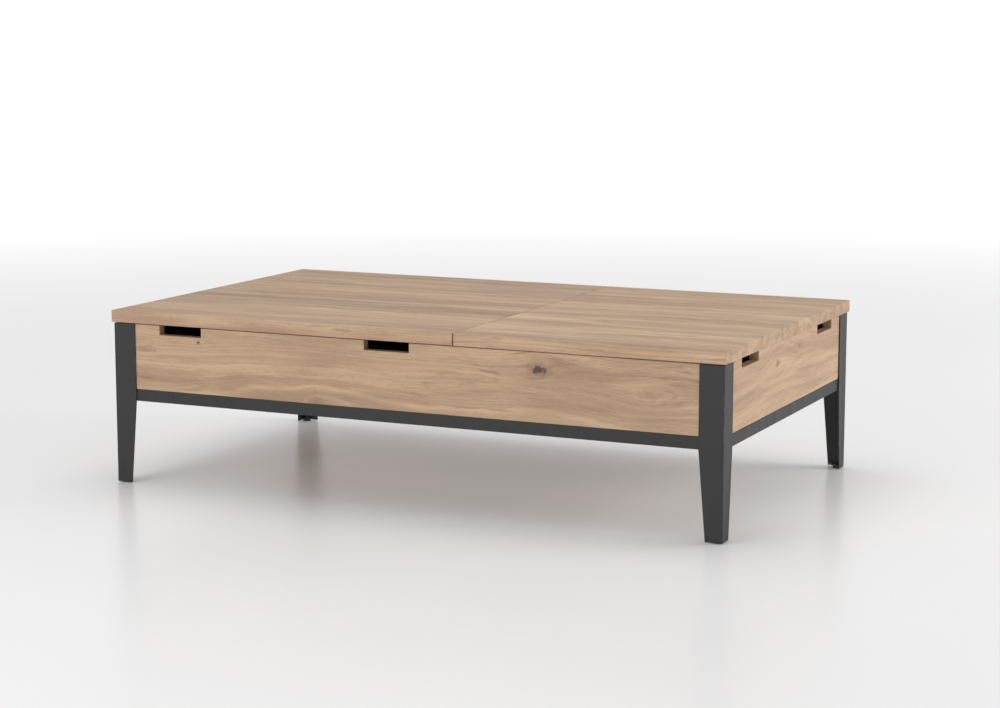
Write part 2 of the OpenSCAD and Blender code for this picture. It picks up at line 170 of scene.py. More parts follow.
def makeKnotGroup():
    # pushes the grain round a knot, and adds the knot's own dark eye to a mask
    tree, given, result = newGroup(
        "knot in the grain",
        [("Vector", "Vector"), ("Mask", "Float", 0.0), ("Centre", "Vector"),
         ("Radius", "Float", 0.01), ("Stretch", "Float", 1.35), ("Strength", "Float", 1.0)],
        [("Vector", "Vector"), ("Mask", "Float")])
    away = vectorCalc(tree, "SUBTRACT", given["Vector"], given["Centre"])
    parts = addNode(tree, "ShaderNodeSeparateXYZ", {0: away}).outputs
    reach = calc(tree, "MULTIPLY", given["Radius"], knotLook["reach"])
    wide = calc(tree, "DIVIDE", parts[0], calc(tree, "MULTIPLY", reach, knotLook["reachAlong"]))
    tallY = calc(tree, "DIVIDE", parts[1], reach)
    tallZ = calc(tree, "DIVIDE", parts[2], reach)
    far = vectorCalc(tree, "LENGTH", combine(tree, wide, tallY, tallZ))
    pull = calc(tree, "EXPONENT", calc(tree, "MULTIPLY", calc(tree, "MULTIPLY", far, far), -1.0))
    keep = calc(tree, "SUBTRACT", 1.0, calc(tree, "MULTIPLY", pull, knotLook["pull"]))
    bent = combine(tree, parts[0], calc(tree, "MULTIPLY", parts[1], keep),
                   calc(tree, "MULTIPLY", parts[2], keep))
    tree.links.new(vectorCalc(tree, "ADD", given["Centre"], bent), result["Vector"])
    rough = noise(tree, given["Vector"], knotLook["roughScale"], 3.0, 0.65)
    eye = vectorCalc(tree, "LENGTH", combine(
        tree, calc(tree, "DIVIDE", parts[0], calc(tree, "MULTIPLY", given["Radius"],
                                                  given["Stretch"])),
        calc(tree, "DIVIDE", parts[1], given["Radius"]),
        calc(tree, "DIVIDE", parts[2], given["Radius"])))
    edge = calc(tree, "ADD", eye, calc(tree, "MULTIPLY", calc(tree, "SUBTRACT", rough, 0.5),
                                   knotLook["ragged"]))
    dark = fade(tree, edge, knotLook["eyeRim"], knotLook["eyeCore"])
    mask = calc(tree, "MULTIPLY", dark, given["Strength"])
    tree.links.new(calc(tree, "MAXIMUM", mask, given["Mask"]), result["Mask"])
    return tree


# how much each pattern is squeezed along the board and across it, and its scale
grainLook = {"wave": (1.0, 3.2, 5.0), "blotch": (1.6, 9.0, 2.4), "pore": (0.045, 1.0, 1500.0),
             "fleck": (0.25, 1.0, 260.0), "streak": (2.6, 34.0, 1.0), "dash": (13.0, 120.0, 1.0),
             "dashPatch": (3.0, 9.0, 1.0), "bow": 0.030, "seedAlong": 37.0, "seedAcross": 11.0,
             "seedBand": 91.0, "bandScale": 0.23, "unevenScale": 0.45, "unevenBy": 3.0,
             "driftBy": 2.6, "rippleBy": 0.55}


def stretched(tree, name, along, y, z, detail, roughness=0.5):
    # the named noise of the grain, stretched along the board
    lengthwise, across, scale = grainLook[name]
    return noise(tree, combine(tree, calc(tree, "MULTIPLY", along, lengthwise),
                               calc(tree, "MULTIPLY", y, across),
                               calc(tree, "MULTIPLY", z, across)), scale, detail, roughness)


def makeGrainGroup():
    # growth rings round a heart that runs along x, cut by the faces of the board
    tree, given, result = newGroup(
        "oak grain",
        [("Vector", "Vector"), ("Heart", "Vector"), ("Ring Spacing", "Float", 0.004),
         ("Wander", "Float", 0.02)],
        [("Band", "Float"), ("Ring", "Float"), ("Pore", "Float"), ("Fleck", "Float"),
         ("Tone", "Float"), ("Streak", "Float"), ("Dash", "Float")])
    heart = addNode(tree, "ShaderNodeSeparateXYZ", {0: given["Heart"]}).outputs
    place = addNode(tree, "ShaderNodeSeparateXYZ", {0: given["Vector"]}).outputs
    seed = heart[0]
    along = calc(tree, "ADD", place[0], calc(tree, "MULTIPLY", seed, grainLook["seedAlong"]))
    acrossY = calc(tree, "SUBTRACT", place[1], heart[1])
    acrossZ = calc(tree, "SUBTRACT", place[2], heart[2])
    shift = calc(tree, "MULTIPLY", seed, grainLook["seedAcross"])
    slow = noise(tree, combine(tree, calc(tree, "MULTIPLY", along, 0.9), shift, shift), 2.2, 1.5)
    drift = calc(tree, "MULTIPLY", calc(tree, "SUBTRACT", slow, 0.5), given["Wander"])
    wave = stretched(tree, "wave", along, place[1], place[2], 2.5)
    ripple = calc(tree, "MULTIPLY", calc(tree, "SUBTRACT", wave, 0.5),
                  calc(tree, "MULTIPLY", given["Wander"], grainLook["rippleBy"]))
    radius = vectorCalc(tree, "LENGTH", combine(tree, acrossY, acrossZ, 0.0))
    drifted = calc(tree, "MULTIPLY", drift, grainLook["driftBy"])
    grown = calc(tree, "ADD", calc(tree, "ADD", radius, drifted), ripple)
    count = calc(tree, "DIVIDE", grown, given["Ring Spacing"])
    pace = noise(tree, None, grainLook["unevenScale"], 1.0, dimensions="1D",
                 w=calc(tree, "ADD", count, shift))
    uneven = calc(tree, "ADD", count, calc(tree, "MULTIPLY", pace, grainLook["unevenBy"]))
    part = calc(tree, "FRACT", uneven)
    ring = calc(tree, "MULTIPLY", fade(tree, part, 0.0, 0.18), fade(tree, part, 1.0, 0.35))
    bandShift = calc(tree, "MULTIPLY", seed, grainLook["seedBand"])
    band = noise(tree, None, grainLook["bandScale"], 2.0, 0.55, dimensions="1D",
                 w=calc(tree, "ADD", uneven, bandShift))
    blotch = stretched(tree, "blotch", along, place[1], place[2], 3.0)
    tree.links.new(band, result["Band"])
    tree.links.new(ring, result["Ring"])
    tree.links.new(blotch, result["Tone"])
    fine = stretched(tree, "pore", along, place[1], place[2], 1.0)
    pore = calc(tree, "MULTIPLY", fade(tree, fine, 0.56, 0.70),
                fade(tree, ring, 0.0, 0.8, 0.35, 1.0))
    tree.links.new(pore, result["Pore"])
    silver = stretched(tree, "fleck", along, place[1], place[2], 1.0)
    tree.links.new(fade(tree, silver, 0.62, 0.72), result["Fleck"])
    bowed = calc(tree, "MULTIPLY", calc(tree, "SUBTRACT", wave, 0.5), grainLook["bow"])
    rowY = calc(tree, "ADD", calc(tree, "ADD", place[1], bowed), shift)
    rowZ = calc(tree, "ADD", place[2], bowed)
    streak = stretched(tree, "streak", along, rowY, rowZ, 5.0, 0.62)
    tree.links.new(streak, result["Streak"])
    dash = stretched(tree, "dash", along, rowY, rowZ, 2.0)
    where = stretched(tree, "dashPatch", along, rowY, rowZ, 1.0)
    tree.links.new(calc(tree, "MULTIPLY", fade(tree, dash, 0.57, 0.74),
                        fade(tree, where, 0.44, 0.62)), result["Dash"])
    return tree


knotGroup = makeKnotGroup()
grainGroup = makeGrainGroup()

oakTop = {"light": (0.605, 0.416, 0.265, 1), "dark": (0.398, 0.254, 0.154, 1),
          "streak": (0.245, 0.145, 0.086, 1), "knot": (0.050, 0.028, 0.018, 1),
          "roughness": 0.52, "contrast": 1.0, "ringSpacing": 0.0046, "wander": 0.014}
oakBox = dict(oakTop, light=(0.620, 0.428, 0.270, 1), dark=(0.420, 0.271, 0.163, 1), wander=0.018)
innerOak = dict(oakTop, light=(0.520, 0.365, 0.240, 1), dark=(0.380, 0.250, 0.160, 1),
                roughness=0.62, contrast=0.7)
toneTurns = 7.31  # turns a board's seed into its tone


def oakMaterial(name, wood, knots=(), turned=False):
    # boards run along x, or along y when turned; each carries its heart as an attribute
    material, tree, shader = startMaterial(name)
    shader.inputs["Specular IOR Level"].default_value = 0.42
    coord = tree.nodes.new("ShaderNodeTexCoord").outputs
    place = coord["Object"]
    normal = coord["Normal"]
    if turned:
        quarter = (0, 0, math.radians(-90))
        place, normal = (addNode(tree, "ShaderNodeMapping",
                                 {"Vector": vector, "Rotation": quarter}).outputs[0]
                         for vector in (place, normal))
    mask = 0.0
    for centre, radius, stretch, strength in knots:
        at = (centre[1], -centre[0], centre[2]) if turned else centre
        bent = useGroup(tree, knotGroup, {"Vector": place, "Mask": mask, "Centre": at,
                                          "Radius": radius, "Stretch": stretch,
                                          "Strength": strength})
        place, mask = bent["Vector"], bent["Mask"]
    heart = addNode(tree, "ShaderNodeAttribute", attribute_name="heart").outputs["Vector"]
    grain = useGroup(tree, grainGroup, {"Vector": place, "Heart": heart,
                                        "Ring Spacing": wood["ringSpacing"],
                                        "Wander": wood["wander"]})
    seed = addNode(tree, "ShaderNodeSeparateXYZ", {0: heart}).outputs[0]
    contrast = wood["contrast"]
    soft = calc(tree, "MULTIPLY", fade(tree, grain["Streak"], 0.36, 0.62), 0.66 * contrast)
    ringed = calc(tree, "MULTIPLY", fade(tree, grain["Band"], 0.36, 0.64), 0.40 * contrast)
    base = mixColour(tree, calc(tree, "ADD", soft, ringed, clamp=True), wood["light"], wood["dark"])
    base = mixColour(tree, fade(tree, grain["Tone"], 0.54, 0.82, 0.0, 0.62 * contrast),
                     base, wood["dark"])
    base = mixColour(tree, fade(tree, grain["Tone"], 0.42, 0.20, 0.0, 0.4), base, wood["light"])
    base = mixColour(tree, calc(tree, "MULTIPLY", grain["Ring"], 0.17 * contrast),
                     base, wood["streak"])
    base = mixColour(tree, calc(tree, "MULTIPLY", grain["Dash"], 0.55 * contrast),
                     base, wood["streak"])
    base = mixColour(tree, calc(tree, "MULTIPLY", grain["Pore"], 0.36), base, wood["streak"])
    base = mixColour(tree, calc(tree, "MULTIPLY", grain["Fleck"], 0.14), base, wood["light"])
    board = fade(tree, calc(tree, "FRACT", calc(tree, "MULTIPLY", seed, toneTurns)), 0.0, 1.0,
                 -0.17, 0.10, smooth=False)
    base = addNode(tree, "ShaderNodeHueSaturation",
                   {"Hue": 0.5, "Saturation": 1.0, "Value": calc(tree, "ADD", 1.0, board),
                    "Color": base}).outputs[0]
    facing = calc(tree, "ABSOLUTE", addNode(tree, "ShaderNodeSeparateXYZ", {0: normal}).outputs[0])
    endCut = fade(tree, facing, 0.6, 0.9, 0.0, 0.16)
    base = mixColour(tree, endCut, base, wood["dark"])
    if knots:
        base = mixColour(tree, fade(tree, mask, 0.02, 0.34, 0.0, 0.46), base, wood["streak"])
        base = mixColour(tree, fade(tree, mask, 0.42, 0.98, 0.0, 0.90), base, wood["knot"])
    tree.links.new(base, shader.inputs["Base Color"])
    rough = calc(tree, "ADD", wood["roughness"],
                 calc(tree, "MULTIPLY", calc(tree, "SUBTRACT", grain["Tone"], 0.5), 0.16))
    rough = calc(tree, "ADD", rough, calc(tree, "MULTIPLY", grain["Pore"], 0.14))
    tree.links.new(rough, shader.inputs["Roughness"])
    height = calc(tree, "SUBTRACT", calc(tree, "MULTIPLY", grain["Ring"], 0.25), grain["Pore"])
    bumpFrom(tree, shader, height, 0.45, 0.0003)
    return material


# metal, rubber and plastic

def makeSkinGroup():
    # orange peel, slow mottling and rubbed edges of a coated metal
    tree, given, result = newGroup(
        "coated skin",
        [("Vector", "Vector"), ("Edge", "Float", 0.0), ("Peel Scale", "Float", 700.0),
         ("Mottle Scale", "Float", 9.0)],
        [("Peel", "Float"), ("Mottle", "Float"), ("Rub", "Float")])
    peel = noise(tree, given["Vector"], given["Peel Scale"], 2.0)
    tree.links.new(peel, result["Peel"])
    long = vectorCalc(tree, "MULTIPLY", given["Vector"], (4.0, 4.0, 0.5))
    tree.links.new(noise(tree, long, given["Mottle Scale"], 4.0, 0.6), result["Mottle"])
    patch = noise(tree, given["Vector"], 45.0, 3.0, 0.6)
    rub = calc(tree, "MULTIPLY", given["Edge"], fade(tree, patch, 0.46, 0.66))
    tree.links.new(rub, result["Rub"])
    return tree


skinGroup = makeSkinGroup()


def coatedMaterial(name, colour, worn, roughness, peelScale, peelHeight, metallic=0.0, sheen=0.5):
    material, tree, shader = startMaterial(name, Metallic=metallic, Specular_IOR_Level=sheen)
    edge = addNode(tree, "ShaderNodeAttribute", attribute_name="edge").outputs["Fac"]
    skin = useGroup(tree, skinGroup, {"Vector": objectPlace(tree), "Edge": edge,
                                      "Peel Scale": peelScale})
    lighter = tuple(min(1.0, c * 1.25) for c in colour[:3]) + (1,)
    darker = tuple(c * 0.85 for c in colour[:3]) + (1,)
    base = mixColour(tree, fade(tree, skin["Mottle"], 0.32, 0.68), darker, lighter)
    base = mixColour(tree, skin["Rub"], base, worn)
    tree.links.new(base, shader.inputs["Base Color"])
    rough = fade(tree, skin["Mottle"], 0.3, 0.7, roughness - 0.05, roughness + 0.06)
    tree.links.new(calc(tree, "SUBTRACT", rough, calc(tree, "MULTIPLY", skin["Rub"], 0.12)),
                   shader.inputs["Roughness"])
    bumpFrom(tree, shader, skin["Peel"], 0.30, peelHeight)
    return material


def springMaterial(name):
    material, tree, shader = startMaterial(name, Metallic=1.0)
    place = objectPlace(tree)
    drawn = noise(tree, vectorCalc(tree, "MULTIPLY", place, (0.3, 1.0, 1.0)), 900.0, 2.0)
    oil = noise(tree, place, 60.0, 3.0)
    base = mixColour(tree, fade(tree, oil, 0.35, 0.7), (0.30, 0.30, 0.31, 1),
                     (0.14, 0.13, 0.125, 1))
    tree.links.new(base, shader.inputs["Base Color"])
    tree.links.new(fade(tree, oil, 0.3, 0.7, 0.24, 0.42), shader.inputs["Roughness"])
    bumpFrom(tree, shader, drawn, 0.2, 0.0001)
    return material


def mouldedMaterial(name, colour, roughness, speckle):
    material, tree, shader = startMaterial(name)
    place = objectPlace(tree)
    grainy = noise(tree, place, 1100.0, 2.0)
    worn = noise(tree, place, 70.0, 3.0)
    lighter = tuple(c * speckle for c in colour[:3]) + (1,)
    tree.links.new(mixColour(tree, fade(tree, worn, 0.4, 0.75), colour, lighter),
                   shader.inputs["Base Color"])
    tree.links.new(fade(tree, worn, 0.3, 0.7, roughness - 0.05, roughness + 0.08),
                   shader.inputs["Roughness"])
    bumpFrom(tree, shader, grainy, 0.25, 0.0002)
    return material


topFace = topHigh.z
# each knot: its centre, radius, stretch along the grain and strength
boxKnots = [((0.294, frontFace, 0.304), 0.0100, 2.0, 1.0),
            ((0.523, frontFace, 0.272), 0.0100, 2.2, 0.26),
            ((-0.469, frontFace, 0.308), 0.0034, 1.4, 0.85),
            ((-0.596, frontFace, 0.285), 0.0040, 5.5, 0.55),
            ((-0.194, frontFace, 0.208), 0.0065, 2.4, 0.50)]
endKnots = [((endFace, -0.071, 0.296), 0.0070, 1.7, 0.62),
            ((endFace, 0.072, 0.312), 0.0040, 5.0, 0.45)]
topKnots = [((-0.087, -0.162, topFace), 0.0060, 3.6, 0.55),
            ((-0.129, topLow.y, 0.356), 0.0030, 7.0, 0.50),
            ((0.330, -0.080, topFace), 0.0050, 4.0, 0.40)]

materials = {
    "oak_top": oakMaterial("oiled oak lids", oakTop, topKnots),
    "oak_box": oakMaterial("oiled oak long walls", oakBox, boxKnots),
    "oak_end": oakMaterial("oiled oak end walls", oakBox, endKnots, turned=True),
    "inner_wood": oakMaterial("plain oak inside", innerOak),
    "inner_turned": oakMaterial("plain oak across", innerOak, turned=True),
    "frame_steel": coatedMaterial("dark powder coat", (0.0175, 0.0172, 0.0180, 1),
                                  (0.070, 0.070, 0.072, 1), 0.48, 700.0, 0.0004, sheen=0.40),
    "mechanism_steel": coatedMaterial("black stoved paint", (0.022, 0.022, 0.024, 1),
                                      (0.230, 0.230, 0.235, 1), 0.38, 1300.0, 0.0002),
    "zinc_hardware": coatedMaterial("zinc plate", (0.560, 0.565, 0.575, 1),
                                    (0.700, 0.700, 0.700, 1), 0.32, 900.0, 0.0001, metallic=1.0),
    "spring_steel": springMaterial("oiled spring wire"),
    "bumper_rubber": mouldedMaterial("rubber bumper", (0.018, 0.018, 0.018, 1), 0.82, 1.9),
    "glide_plastic": mouldedMaterial("moulded glide", (0.015, 0.015, 0.016, 1), 0.55, 1.6),
}
print("materials made:", len(materials))


# pieces from the frame

def finishPiece(bm, name, material, replaced):
    mesh = bpy.data.meshes.new(name)
    bm.to_mesh(mesh)
    bm.free()
    mesh.materials.append(material)
    piece = bpy.data.objects.new(name, mesh)
    bpy.context.collection.objects.link(piece)
    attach(piece, bodyOf[replaced])
    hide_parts(replaced)
    return piece


def copyOf(nodeName):
    # the node's mesh, merged, with its flat faces whole again
    bm = bmesh.new()
    bm.from_mesh(frame["nodes"][nodeName].data)
    bmesh.ops.remove_doubles(bm, verts=bm.verts, dist=0.000002)
    bmesh.ops.dissolve_limit(bm, angle_limit=math.radians(0.5), verts=bm.verts, edges=bm.edges)
    return bm


def ease(bm, width, segments, shortest=0.004):
    # rounds the long sharp edges, and marks the new faces as edges that hands and feet rub
    edgeLayer = bm.faces.layers.float.new("edgeFace")
    sharp = [e for e in bm.edges if e.is_manifold and e.calc_length() > shortest
             and e.calc_face_angle(0.0) > math.radians(35)]
    made = bmesh.ops.bevel(bm, geom=sharp, offset=width, offset_type="OFFSET", segments=segments,
                           profile=0.5, affect="EDGES", clamp_overlap=False)
    for face in made["faces"]:
        face[edgeLayer] = 1.0
        face.smooth = True


def storeEdge(piece):
    # copies the face marks to the corners, where the materials read them
    mesh = piece.data
    marks = mesh.attributes.get("edgeFace")
    corner = mesh.attributes.new("edge", "FLOAT", "CORNER")
    for polygon in mesh.polygons:
        for loop in polygon.loop_indices:
            corner.data[loop].value = marks.data[polygon.index].value
    mesh.attributes.remove(mesh.attributes["edgeFace"])


def storeHearts(piece, heartOf):
    # heartOf gives (seed, heart y, heart z) of the board that holds a point
    mesh = piece.data
    corner = mesh.attributes.new("heart", "FLOAT_VECTOR", "CORNER")
    for polygon in mesh.polygons:
        heart = heartOf(polygon.center)
        for loop in polygon.loop_indices:
            corner.data[loop].vector = heart


easing = {"frame_steel": (0.0007, 2), "mechanism_steel": (0.0005, 2)}
for nodeName, slot in slotOf.items():
    if slot not in easing or nodeName.endswith(("tube", "cups")):
        continue
    bm = copyOf(nodeName)
    ease(bm, *easing[slot])
    piece = finishPiece(bm, nodeName + "_eased", materials[slot], nodeName)
    storeEdge(piece)
print("steel pieces eased")


# walls, partition and bottom panels

wallLook = {"ease": 0.0011, "innerEase": 0.0004, "segments": 3, "heartDepth": 0.115,
            "panelBoard": 0.12, "panelHeart": -0.04, "panelSeedStep": 0.13, "panelShift": 10}
wallBoards = {  # seed, and how far the heart stands from the middle of the board
    "front_apron": (0.31, -0.085), "rear_apron": (0.74, 0.090),
    "left_apron": (0.52, -0.075), "right_apron": (0.12, 0.080),
    "partition": (0.87, 0.0), "left_bottom_panel": (0.23, 0.0), "right_bottom_panel": (0.66, 0.0)}


def wallHeart(nodeName):
    # the heart of the log lies inwards of a wall, or below a panel
    low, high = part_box(nodeName)
    seed, rise = wallBoards[nodeName]
    middle = (low + high) / 2
    if "bottom" in nodeName:
        wide = wallLook["panelBoard"]
        step = wallLook["panelSeedStep"]
        return lambda at: (seed + step * math.floor((at.y + wallLook["panelShift"]) / wide),
                           wide * math.floor(at.y / wide), wallLook["panelHeart"])
    if high.x - low.x > high.y - low.y:
        inward = -1 if middle.y > 0 else 1
        return lambda at: (seed, middle.y + inward * wallLook["heartDepth"], middle.z + rise)
    inward = -1 if middle.x > 0 else 1
    return lambda at: (seed, -(middle.x + inward * wallLook["heartDepth"]), middle.z + rise)


wallMaterial = {"front_apron": "oak_box", "rear_apron": "oak_box", "left_apron": "oak_end",
                "right_apron": "oak_end", "partition": "inner_turned",
                "left_bottom_panel": "inner_wood", "right_bottom_panel": "inner_wood"}
for nodeName, materialName in wallMaterial.items():
    bm = copyOf(nodeName)
    outer = nodeName.endswith("apron")
    ease(bm, wallLook["ease" if outer else "innerEase"], wallLook["segments"])
    if "bottom" in nodeName:
        low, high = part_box(nodeName)
        wide = wallLook["panelBoard"]
        for step in range(math.ceil(low.y / wide), math.ceil(high.y / wide)):
            bmesh.ops.bisect_plane(bm, geom=[*bm.verts, *bm.edges, *bm.faces],
                                   plane_co=(0, step * wide, 0), plane_no=(0, 1, 0))
    piece = finishPiece(bm, nodeName + "_board", materials[materialName],
                        nodeName)
    storeHearts(piece, wallHeart(nodeName))
    storeEdge(piece)

blockLook = {"ease": 0.0008, "segments": 2, "heartY": 0.05, "heartZ": 0.02}
bm = copyOf("corner_blocks")
ease(bm, blockLook["ease"], blockLook["segments"])
blocks = finishPiece(bm, "corner_blocks_eased", materials["inner_wood"],
                     "corner_blocks")
storeHearts(blocks, lambda at: (round(at.x + at.y, 1), at.y + blockLook["heartY"],
                                at.z + blockLook["heartZ"]))
storeEdge(blocks)
print("walls and panels made")


# lids, glued up from boards

lidLook = {"ease": 0.0016, "segments": 3,
           "left_lid": {"seed": 5, "tones": (0.0, 0.62),
                        "joints": (-0.298, -0.182, -0.061, 0.048, 0.165, 0.283)},
           "right_lid": {"seed": 12, "tones": (0.30, 1.0),
                         "joints": (-0.347, -0.201, -0.076, 0.034, 0.141, 0.307)}}


def makeLid(nodeName):
    low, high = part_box(nodeName)
    look = lidLook[nodeName]
    draw = random.Random(look["seed"])
    edges = [low.y, *look["joints"], high.y]
    hearts = []
    for near, far in zip(edges, edges[1:]):
        side = draw.choice((-1, 1))
        tone = draw.uniform(*look["tones"])
        hearts.append(((draw.randrange(7) + tone) / toneTurns,
                       (near + far) / 2 + draw.uniform(-0.06, 0.06),
                       (low.z + high.z) / 2 + side * draw.uniform(0.07, 0.16)))
    bm = copyOf(nodeName)
    ease(bm, lidLook["ease"], lidLook["segments"])
    for y in edges[1:-1]:
        bmesh.ops.bisect_plane(bm, geom=[*bm.verts, *bm.edges, *bm.faces],
                               plane_co=(0, y, 0), plane_no=(0, 1, 0))
    lid = finishPiece(bm, nodeName + "_boards", materials["oak_top"], nodeName)

    def heartAt(at):
        for index, far in enumerate(edges[1:]):
            if at.y < far:
                return hearts[index]
        return hearts[-1]

    storeHearts(lid, heartAt)
    storeEdge(lid)


makeLid("left_lid")
makeLid("right_lid")
print("lids made")


# springs

springLook = {"wire": 0.0038, "turns": 9, "stepsPerTurn": 28, "sides": 12}


def solidsOf(nodeName):
    # the corner points of each separate solid in a node, in the order of the mesh
    bm = bmesh.new()
    bm.from_mesh(frame["nodes"][nodeName].data)
    bmesh.ops.remove_doubles(bm, verts=bm.verts, dist=0.000002)
    bm.verts.index_update()
    seen = [False] * len(bm.verts)
    found = []
    for start in bm.verts:
        if seen[start.index]:
            continue
        seen[start.index] = True
        stack, island = [start], []
        while stack:
            vert = stack.pop()
            island.append(vert.co.copy())
            for edge in vert.link_edges:
                other = edge.other_vert(vert)
                if not seen[other.index]:
                    seen[other.index] = True
                    stack.append(other)
        found.append(island)
    bm.free()
    return found


def tubeAlong(bm, path, radius, sides):
    rings = []
    side = None
    for index, point in enumerate(path):
        ahead = path[min(index + 1, len(path) - 1)] - path[max(index - 1, 0)]
        ahead.normalize()
        side = (side - ahead * side.dot(ahead)) if side else ahead.orthogonal()
        side.normalize()
        other = ahead.cross(side)
        rings.append([bm.verts.new(point + (side * math.cos(a) + other * math.sin(a)) * radius)
                      for a in (2 * math.pi * k / sides for k in range(sides))])
    for near, far in zip(rings, rings[1:]):
        for k in range(sides):
            face = bm.faces.new((near[k], near[(k + 1) % sides], far[(k + 1) % sides], far[k]))
            face.smooth = True
    bm.faces.new(rings[0][::-1])
    bm.faces.new(rings[-1])


def makeSprings(nodeName, tubeName):
    # each coil lies round the cross tube, with its lower leg standing on the base plate
    tubeLow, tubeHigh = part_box(tubeName)
    centre = (tubeLow + tubeHigh) / 2
    lies = 0 if tubeHigh.x - tubeLow.x > tubeHigh.y - tubeLow.y else 1
    across = 1 - lies
    bm = bmesh.new()
    for island in solidsOf(nodeName):
        low = Vector([min(p[i] for p in island) for i in range(3)])
        high = Vector([max(p[i] for p in island) for i in range(3)])
        wire = springLook["wire"]
        radius = (high[across] - low[across]) / 2 - wire / 2
        middle = (high[across] + low[across]) / 2
        legSide = 1 if lies == 0 else -1
        outward = 1 if (low[lies] + high[lies]) / 2 < centre[lies] else -1
        start = low[lies] if outward > 0 else high[lies]
        length = high[lies] - low[lies]
        path = []

        def at(lengthwise, sideways, z):
            point = Vector((0, 0, z))
            point[lies] = lengthwise
            point[across] = sideways
            return point

        first = start + outward * wire / 2
        for z in (low.z, low.z + 0.010, centre.z - 0.006):
            path.append(at(first, middle + legSide * radius, z))
        steps = springLook["turns"] * springLook["stepsPerTurn"]
        for k in range(steps + 1):
            angle = 2 * math.pi * k / springLook["stepsPerTurn"]
            travel = outward * (length - wire) * k / steps
            path.append(at(first + travel, middle + legSide * radius * math.cos(angle),
                           centre.z + radius * math.sin(angle)))
        tubeAlong(bm, path, wire / 2, springLook["sides"])
    bmesh.ops.recalc_face_normals(bm, faces=bm.faces)
    finishPiece(bm, nodeName + "_coils", materials["spring_steel"], nodeName)


makeSprings("front_lift_springs", "front_lift_cross_tube")
makeSprings("end_lift_springs", "end_lift_cross_tube")
print("springs wound")


# screws, by Geometry Nodes

def makeScrewTree():
    # a pan head with a hex socket and a plain shank, set on every point along its direction
    tree = bpy.data.node_groups.new("screws", "GeometryNodeTree")
    tree.interface.new_socket("Geometry", in_out="INPUT", socket_type="NodeSocketGeometry")
    for name, default in (("Shank Radius", 0.002), ("Shank Length", 0.02), ("Head Radius", 0.004),
                          ("Head Height", 0.0025), ("Socket Radius", 0.0018)):
        socket = tree.interface.new_socket(name, in_out="INPUT", socket_type="NodeSocketFloat")
        socket.default_value = default
    tree.interface.new_socket("Material", in_out="INPUT", socket_type="NodeSocketMaterial")
    tree.interface.new_socket("Geometry", in_out="OUTPUT", socket_type="NodeSocketGeometry")
    given = tree.nodes.new("NodeGroupInput").outputs
    result = tree.nodes.new("NodeGroupOutput").inputs

    def drum(radius, depth, vertices, lift):
        body = addNode(tree, "GeometryNodeMeshCylinder",
                       {"Vertices": vertices, "Radius": radius, "Depth": depth}).outputs["Mesh"]
        return addNode(tree, "GeometryNodeTransform",
                       {"Geometry": body, "Translation": combineInTree(lift)}).outputs[0]

    def combineInTree(lift):
        return addNode(tree, "ShaderNodeCombineXYZ", {2: lift}).outputs[0]

    def half(value, sign):
        return calc(tree, "MULTIPLY", value, 0.5 * sign)

    head = drum(given["Head Radius"], given["Head Height"], 24, half(given["Head Height"], -1))
    depth = calc(tree, "MULTIPLY", given["Head Height"], 0.9)
    socketLift = calc(tree, "MULTIPLY", given["Head Height"], -1.0)
    socket = drum(given["Socket Radius"], depth, 6, socketLift)
    hollow = addNode(tree, "GeometryNodeMeshBoolean", {0: head, 1: socket}, operation="DIFFERENCE")
    shank = drum(given["Shank Radius"], given["Shank Length"], 16, half(given["Shank Length"], 1))
    whole = tree.nodes.new("GeometryNodeJoinGeometry")
    tree.links.new(shank, whole.inputs[0])
    tree.links.new(hollow.outputs[0], whole.inputs[0])
    direction = addNode(tree, "GeometryNodeInputNamedAttribute", {"Name": "direction"},
                        data_type="FLOAT_VECTOR").outputs["Attribute"]
    turn = addNode(tree, "FunctionNodeAlignEulerToVector", {"Vector": direction},
                   axis="Z").outputs[0]
    placed = addNode(tree, "GeometryNodeInstanceOnPoints",
                     {"Points": given["Geometry"], "Instance": whole.outputs[0], "Rotation": turn})
    real = addNode(tree, "GeometryNodeRealizeInstances", {"Geometry": placed.outputs[0]})
    painted = addNode(tree, "GeometryNodeSetMaterial",
                      {"Geometry": real.outputs[0], "Material": given["Material"]})
    tree.links.new(painted.outputs[0], result[0])
    return tree


screwTree = makeScrewTree()


def screwPlaces(nodeName):
    # for every screw in a node: head seat, direction, head radius and height, shank length
    places = []
    for island in solidsOf(nodeName):
        low = Vector([min(p[i] for p in island) for i in range(3)])
        high = Vector([max(p[i] for p in island) for i in range(3)])
        size = high - low
        axis = max(range(3), key=lambda i: size[i])
        middle = (low + high) / 2
        headRadius = max(size[i] for i in range(3) if i != axis) / 2

        def off(point):
            return math.sqrt(sum((point[i] - middle[i]) ** 2 for i in range(3) if i != axis))

        wide = [p for p in island if off(p) > headRadius * 0.95]
        headAt = sum(p[axis] for p in wide) / len(wide)
        sign = 1 if headAt < middle[axis] else -1
        headHeight = max(p[axis] for p in wide) - min(p[axis] for p in wide)
        seat = middle.copy()
        seat[axis] = (low[axis] + headHeight) if sign > 0 else (high[axis] - headHeight)
        direction = Vector((0, 0, 0))
        direction[axis] = sign
        places.append((seat, direction, headRadius, headHeight, size[axis] - headHeight))
    return places


